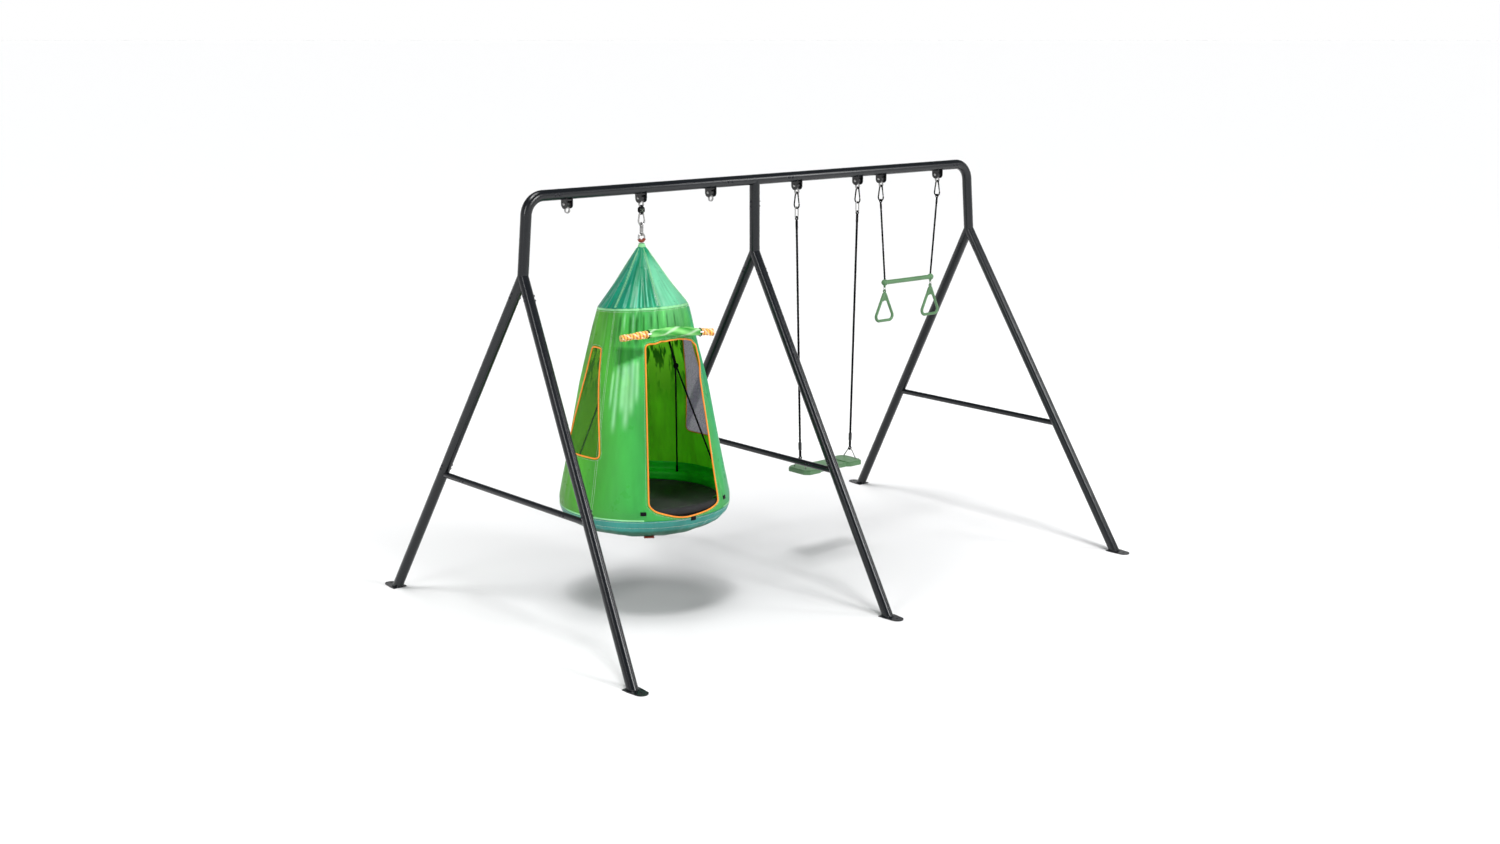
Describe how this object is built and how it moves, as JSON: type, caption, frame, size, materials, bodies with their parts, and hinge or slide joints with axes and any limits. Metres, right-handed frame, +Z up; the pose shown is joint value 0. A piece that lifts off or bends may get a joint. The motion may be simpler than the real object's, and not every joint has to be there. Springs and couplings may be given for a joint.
{
  "type": "swing set",
  "caption": "Free-standing tubular swing frame with a hanging pod tent round a saucer, a flat board swing, and a trapeze bar with hand rings.",
  "frame": {"origin": "centre of the footprint at ground level", "axes": "+X along the beam from the pod to the trapeze, +Y to the rear, +Z up"},
  "size_m": [3.6166, 2.332, 2.2281],
  "materials": {
    "frame_paint": "satin powder coat",
    "bolt_black": "black zinc",
    "bracket_paint": "gloss black",
    "bright_steel": "zinc plated",
    "nylon": "matte",
    "webbing": "woven",
    "rope": "braided",
    "ring_paint": "satin powder coat",
    "padding": "closed-cell foam",
    "floor_fabric": "woven",
    "skirt_fabric": "woven, coated",
    "base_fabric": "woven, coated",
    "wall_fabric": "woven, coated",
    "roof_fabric": "woven, coated",
    "mesh_fabric": "open net",
    "black_metal": "satin",
    "black_plastic": "moulded",
    "green_plastic": "moulded, satin"
  },
  "bodies": {
    "frame": {"left_end_piece": "frame_paint", "right_end_piece": "frame_paint", "left_beam_tube": "frame_paint", "right_beam_tube": "frame_paint", "middle_tee": "frame_paint", "middle_fork": "frame_paint", "left_upper_legs": "frame_paint", "middle_upper_legs": "frame_paint", "right_upper_legs": "frame_paint", "left_front_lower_leg": "frame_paint", "left_rear_lower_leg": "frame_paint", "middle_front_lower_leg": "frame_paint", "middle_rear_lower_leg": "frame_paint", "right_front_lower_leg": "frame_paint", "right_rear_lower_leg": "frame_paint", "crossbars": "frame_paint", "frame_bolts": "bolt_black", "frame_nuts": "bolt_black", "hanger_brackets": "bracket_paint", "pivot_bolts": "bright_steel", "pivot_bushings": "nylon"},
    "left_spare": {"left_spare_eye": "bright_steel"},
    "right_spare": {"right_spare_eye": "bright_steel"},
    "pod_hanger": {"pod_eye": "bright_steel", "pod_strap": "webbing"},
    "pod_clip": {"pod_carabiner": "bright_steel", "swivel_top": "bright_steel"},
    "pod_latch": {"pod_gate": "bright_steel"},
    "pod": {"swivel_bottom": "bright_steel", "pod_ring": "bright_steel", "pod_ropes": "rope", "saucer_ring": "ring_paint", "ring_padding": "padding", "saucer_floor": "floor_fabric", "inner_skirt": "skirt_fabric", "base_cover": "base_fabric", "pod_wall": "wall_fabric", "pod_roof": "roof_fabric", "window_meshes": "mesh_fabric", "door_roll": "wall_fabric"},
    "board_swing": {"swing_eyes": "bright_steel", "swing_carabiners": "black_metal", "quick_links": "bright_steel", "swing_ropes": "rope", "rope_adjusters": "black_plastic"},
    "left_swing_latch": {"left_swing_gate": "black_metal"},
    "right_swing_latch": {"right_swing_gate": "black_metal"},
    "seat": {"seat_triangles": "bright_steel", "seat_board": "green_plastic"},
    "trapeze": {"trapeze_eyes": "bright_steel", "trapeze_carabiners": "black_metal", "trapeze_ropes": "rope", "trapeze_bar": "green_plastic", "ball_ends": "green_plastic"},
    "left_trapeze_latch": {"left_trapeze_gate": "black_metal"},
    "right_trapeze_latch": {"right_trapeze_gate": "black_metal"},
    "left_link": {"left_ring_link": "bright_steel"},
    "right_link": {"right_ring_link": "bright_steel"},
    "left_ring": {"left_hand_ring": "green_plastic"},
    "right_ring": {"right_hand_ring": "green_plastic"}
  },
  "joints": [
    {"name": "left_spare_swing", "type": "hinge", "parent": "frame", "child": "left_spare", "pos_m": [-1.332, 0, 2.15], "axis": [1, 0, 0], "range_deg": [-78, 78]},
    {"name": "right_spare_swing", "type": "hinge", "parent": "frame", "child": "right_spare", "pos_m": [-0.404, 0, 2.15], "axis": [1, 0, 0], "range_deg": [-78, 78]},
    {"name": "pod_swing", "type": "hinge", "parent": "frame", "child": "pod_hanger", "pos_m": [-0.868, 0, 2.15], "axis": [1, 0, 0], "range_deg": [-40, 40]},
    {"name": "pod_sway", "type": "hinge", "parent": "pod_hanger", "child": "pod_clip", "pos_m": [-0.868, 0, 2.0598], "axis": [0, 1, 0], "range_deg": [-9, 9]},
    {"name": "pod_spin", "type": "hinge", "parent": "pod_clip", "child": "pod", "pos_m": [-0.868, 0, 1.9835], "axis": [0, 0, 1], "continuous": true},
    {"name": "pod_gate_hinge", "type": "hinge", "parent": "pod_clip", "child": "pod_latch", "pos_m": [-0.85065, 0, 2.04332], "axis": [0, -1, 0], "range_deg": [0, 18], "stiffness_Nm_per_rad": 0.05, "springref_deg": -11.46},
    {"name": "board_swing_hinge", "type": "hinge", "parent": "frame", "child": "board_swing", "pos_m": [0.442, 0, 2.15], "axis": [1, 0, 0], "range_deg": [-60, 60]},
    {"name": "left_swing_gate_hinge", "type": "hinge", "parent": "board_swing", "child": "left_swing_latch", "pos_m": [0.21, -0.01826, 2.05664], "axis": [-1, 0, 0], "range_deg": [0, 22], "stiffness_Nm_per_rad": 0.05, "springref_deg": -11.46},
    {"name": "right_swing_gate_hinge", "type": "hinge", "parent": "board_swing", "child": "right_swing_latch", "pos_m": [0.674, -0.01826, 2.05664], "axis": [-1, 0, 0], "range_deg": [0, 22], "stiffness_Nm_per_rad": 0.05, "springref_deg": -11.46},
    {"name": "seat_tilt", "type": "hinge", "parent": "board_swing", "child": "seat", "pos_m": [0.442, 0, 0.5947], "axis": [1, 0, 0], "range_deg": [-30, 30]},
    {"name": "trapeze_swing", "type": "hinge", "parent": "frame", "child": "trapeze", "pos_m": [1.092, 0, 2.15], "axis": [1, 0, 0], "range_deg": [-60, 60]},
    {"name": "left_trapeze_gate_hinge", "type": "hinge", "parent": "trapeze", "child": "left_trapeze_latch", "pos_m": [0.86, -0.01826, 2.05664], "axis": [-1, 0, 0], "range_deg": [0, 22], "stiffness_Nm_per_rad": 0.05, "springref_deg": -11.46},
    {"name": "right_trapeze_gate_hinge", "type": "hinge", "parent": "trapeze", "child": "right_trapeze_latch", "pos_m": [1.324, -0.01826, 2.05664], "axis": [-1, 0, 0], "range_deg": [0, 22], "stiffness_Nm_per_rad": 0.05, "springref_deg": -11.46},
    {"name": "left_link_swing", "type": "hinge", "parent": "trapeze", "child": "left_link", "pos_m": [0.902, 0, 1.51915], "axis": [1, 0, 0], "range_deg": [-45, 45]},
    {"name": "right_link_swing", "type": "hinge", "parent": "trapeze", "child": "right_link", "pos_m": [1.282, 0, 1.51915], "axis": [1, 0, 0], "range_deg": [-45, 45]},
    {"name": "left_ring_sway", "type": "hinge", "parent": "left_link", "child": "left_ring", "pos_m": [0.902, 0, 1.49915], "axis": [0, 1, 0], "range_deg": [-35, 35]},
    {"name": "right_ring_sway", "type": "hinge", "parent": "right_link", "child": "right_ring", "pos_m": [1.282, 0, 1.49915], "axis": [0, 1, 0], "range_deg": [-35, 35]}
  ]
}
